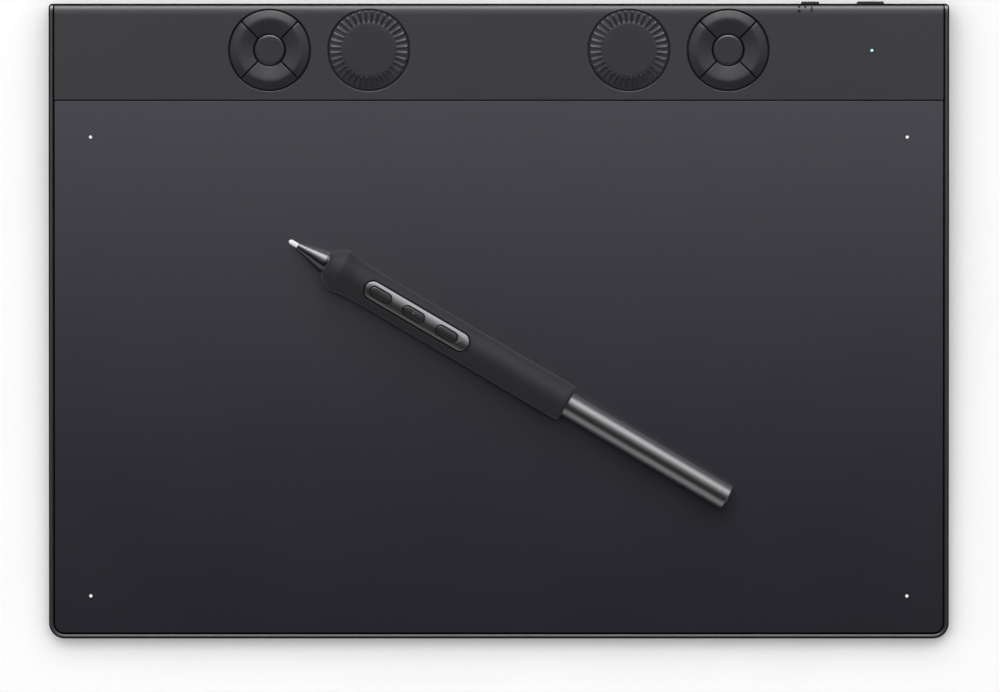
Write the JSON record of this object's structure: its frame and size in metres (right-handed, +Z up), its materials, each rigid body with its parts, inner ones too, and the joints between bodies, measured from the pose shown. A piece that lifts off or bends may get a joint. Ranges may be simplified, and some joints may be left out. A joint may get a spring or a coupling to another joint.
{
  "type": "pen drawing tablet",
  "caption": "Thin wedge-shaped wireless drawing tablet with a control strip of ringed keys and dials behind its drawing surface, and a round flared pen lying across it.",
  "frame": {"origin": "centre of the footprint, on the surface that the feet stand on", "axes": "+X to the right along the tablet's long side, +Y towards its rear edge with the keys and the port, +Z up"},
  "size_m": [0.291, 0.206, 0.0203],
  "materials": {
    "case_coat": "satin dark grey coat on a cast light-alloy tray",
    "strip_coat": "fine satin dark grey coat",
    "drawing_film": "finely textured matt drawing film",
    "key_plastic": "satin dark grey",
    "foot_rubber": "matt black, fine texture",
    "dome_silicone": "translucent grey silicone",
    "inner_plastic": "matt black moulding",
    "light_pipe": "clear, lit pale blue-white",
    "circuit_board": "green solder mask",
    "steel": "plain",
    "battery_foil": "foil pouch",
    "flex_film": "amber film",
    "pen_grip_rubber": "matt soft-touch black",
    "pen_metal": "satin gunmetal anodising",
    "pen_button_plastic": "satin black",
    "pen_cone_metal": "satin dark anodising",
    "nib_plastic": "white, slightly worn",
    "ferrite": "sintered"
  },
  "bodies": {
    "tablet": {"bottom_case": "case_coat", "key_strip_cover": "strip_coat", "drawing_sheet": "drawing_film", "foot_front_left": "foot_rubber", "foot_front_right": "foot_rubber", "foot_rear_left": "foot_rubber", "foot_rear_right": "foot_rubber", "left_key_dome_mat": "dome_silicone", "right_key_dome_mat": "dome_silicone", "sheet_backing_plate": "inner_plastic", "left_dial_encoder": "inner_plastic", "right_dial_encoder": "inner_plastic", "power_switch": "inner_plastic", "link_switch_body": "inner_plastic", "pen_controller_chip": "inner_plastic", "status_light_pipe": "light_pipe", "sensor_board": "circuit_board", "main_board": "circuit_board", "magnetic_shield_plate": "steel", "usb_c_socket": "steel", "radio_module": "steel", "screw_rear_1": "steel", "screw_rear_2": "steel", "screw_rear_3": "steel", "screw_rear_4": "steel", "screw_front_1": "steel", "screw_front_2": "steel", "battery_pack": "battery_foil", "sensor_flex_cable": "flex_film"},
    "left_key_rear": {"left_key_rear": "key_plastic"},
    "left_key_left": {"left_key_left": "key_plastic"},
    "left_key_front": {"left_key_front": "key_plastic"},
    "left_key_right": {"left_key_right": "key_plastic"},
    "left_key_centre": {"left_key_centre": "key_plastic"},
    "right_key_rear": {"right_key_rear": "key_plastic"},
    "right_key_left": {"right_key_left": "key_plastic"},
    "right_key_front": {"right_key_front": "key_plastic"},
    "right_key_right": {"right_key_right": "key_plastic"},
    "right_key_centre": {"right_key_centre": "key_plastic"},
    "left_dial": {"left_dial": "key_plastic"},
    "right_dial": {"right_dial": "key_plastic"},
    "power_button": {"power_button": "key_plastic"},
    "link_switch_knob": {"link_switch_knob": "key_plastic"},
    "pen_nib": {"pen_nib": "nib_plastic"},
    "pen_button_front": {"pen_button_front": "pen_button_plastic"},
    "pen_button_middle": {"pen_button_middle": "pen_button_plastic"},
    "pen_button_rear": {"pen_button_rear": "pen_button_plastic"},
    "pen_barrel": {"pen_barrel": "pen_metal", "pen_tail_cap": "pen_metal", "pen_balance_weight": "steel"},
    "pen": {"pen_nose_cone": "pen_cone_metal", "pen_grip": "pen_grip_rubber", "pen_core_tube": "inner_plastic", "pen_button_plate": "pen_metal", "pen_ferrite_coil": "ferrite", "pen_pressure_sensor": "steel", "pen_circuit_board": "circuit_board"}
  },
  "joints": [
    {"name": "left_key_rear_press", "type": "slide", "parent": "tablet", "child": "left_key_rear", "axis": [0, 0.0146, -0.9999], "range_m": [0, 0.0005], "stiffness_N_per_m": 1200},
    {"name": "left_key_left_press", "type": "slide", "parent": "tablet", "child": "left_key_left", "axis": [0, 0.0146, -0.9999], "range_m": [0, 0.0005], "stiffness_N_per_m": 1200},
    {"name": "left_key_front_press", "type": "slide", "parent": "tablet", "child": "left_key_front", "axis": [0, 0.0146, -0.9999], "range_m": [0, 0.0005], "stiffness_N_per_m": 1200},
    {"name": "left_key_right_press", "type": "slide", "parent": "tablet", "child": "left_key_right", "axis": [0, 0.0146, -0.9999], "range_m": [0, 0.0005], "stiffness_N_per_m": 1200},
    {"name": "left_key_centre_press", "type": "slide", "parent": "tablet", "child": "left_key_centre", "axis": [0, 0.0146, -0.9999], "range_m": [0, 0.0005], "stiffness_N_per_m": 1200},
    {"name": "right_key_rear_press", "type": "slide", "parent": "tablet", "child": "right_key_rear", "axis": [0, 0.0146, -0.9999], "range_m": [0, 0.0005], "stiffness_N_per_m": 1200},
    {"name": "right_key_left_press", "type": "slide", "parent": "tablet", "child": "right_key_left", "axis": [0, 0.0146, -0.9999], "range_m": [0, 0.0005], "stiffness_N_per_m": 1200},
    {"name": "right_key_front_press", "type": "slide", "parent": "tablet", "child": "right_key_front", "axis": [0, 0.0146, -0.9999], "range_m": [0, 0.0005], "stiffness_N_per_m": 1200},
    {"name": "right_key_right_press", "type": "slide", "parent": "tablet", "child": "right_key_right", "axis": [0, 0.0146, -0.9999], "range_m": [0, 0.0005], "stiffness_N_per_m": 1200},
    {"name": "right_key_centre_press", "type": "slide", "parent": "tablet", "child": "right_key_centre", "axis": [0, 0.0146, -0.9999], "range_m": [0, 0.0005], "stiffness_N_per_m": 1200},
    {"name": "left_dial_turn", "type": "hinge", "parent": "tablet", "child": "left_dial", "pos_m": [-0.042, 0.08719, 0.00678], "axis": [0, -0.0146, 0.9999], "continuous": true},
    {"name": "right_dial_turn", "type": "hinge", "parent": "tablet", "child": "right_dial", "pos_m": [0.042, 0.08719, 0.00678], "axis": [0, -0.0146, 0.9999], "continuous": true},
    {"name": "power_button_press", "type": "slide", "parent": "tablet", "child": "power_button", "axis": [0, -0.9999, -0.0146], "range_m": [0, 0.0004], "stiffness_N_per_m": 2500},
    {"name": "link_switch_slide", "type": "slide", "parent": "tablet", "child": "link_switch_knob", "axis": [-1, 0, 0], "range_m": [0, 0.004]},
    {"name": "pen_lift", "type": "slide", "parent": "tablet", "child": "pen", "axis": [0, 0, 1], "range_m": [0, 0.12]},
    {"name": "pen_nib_press", "type": "slide", "parent": "pen", "child": "pen_nib", "axis": [0.862, -0.5065, -0.0192], "range_m": [0, 0.0004], "stiffness_N_per_m": 2500},
    {"name": "pen_button_front_press", "type": "slide", "parent": "pen", "child": "pen_button_front", "axis": [-0.0102, 0.0206, -0.9997], "range_m": [0, 0.0004], "stiffness_N_per_m": 2500},
    {"name": "pen_button_middle_press", "type": "slide", "parent": "pen", "child": "pen_button_middle", "axis": [-0.0102, 0.0206, -0.9997], "range_m": [0, 0.0004], "stiffness_N_per_m": 2500},
    {"name": "pen_button_rear_press", "type": "slide", "parent": "pen", "child": "pen_button_rear", "axis": [-0.0102, 0.0206, -0.9997], "range_m": [0, 0.0004], "stiffness_N_per_m": 2500},
    {"name": "pen_barrel_pull", "type": "slide", "parent": "pen", "child": "pen_barrel", "axis": [0.862, -0.5065, -0.0192], "range_m": [0, 0.02]}
  ]
}
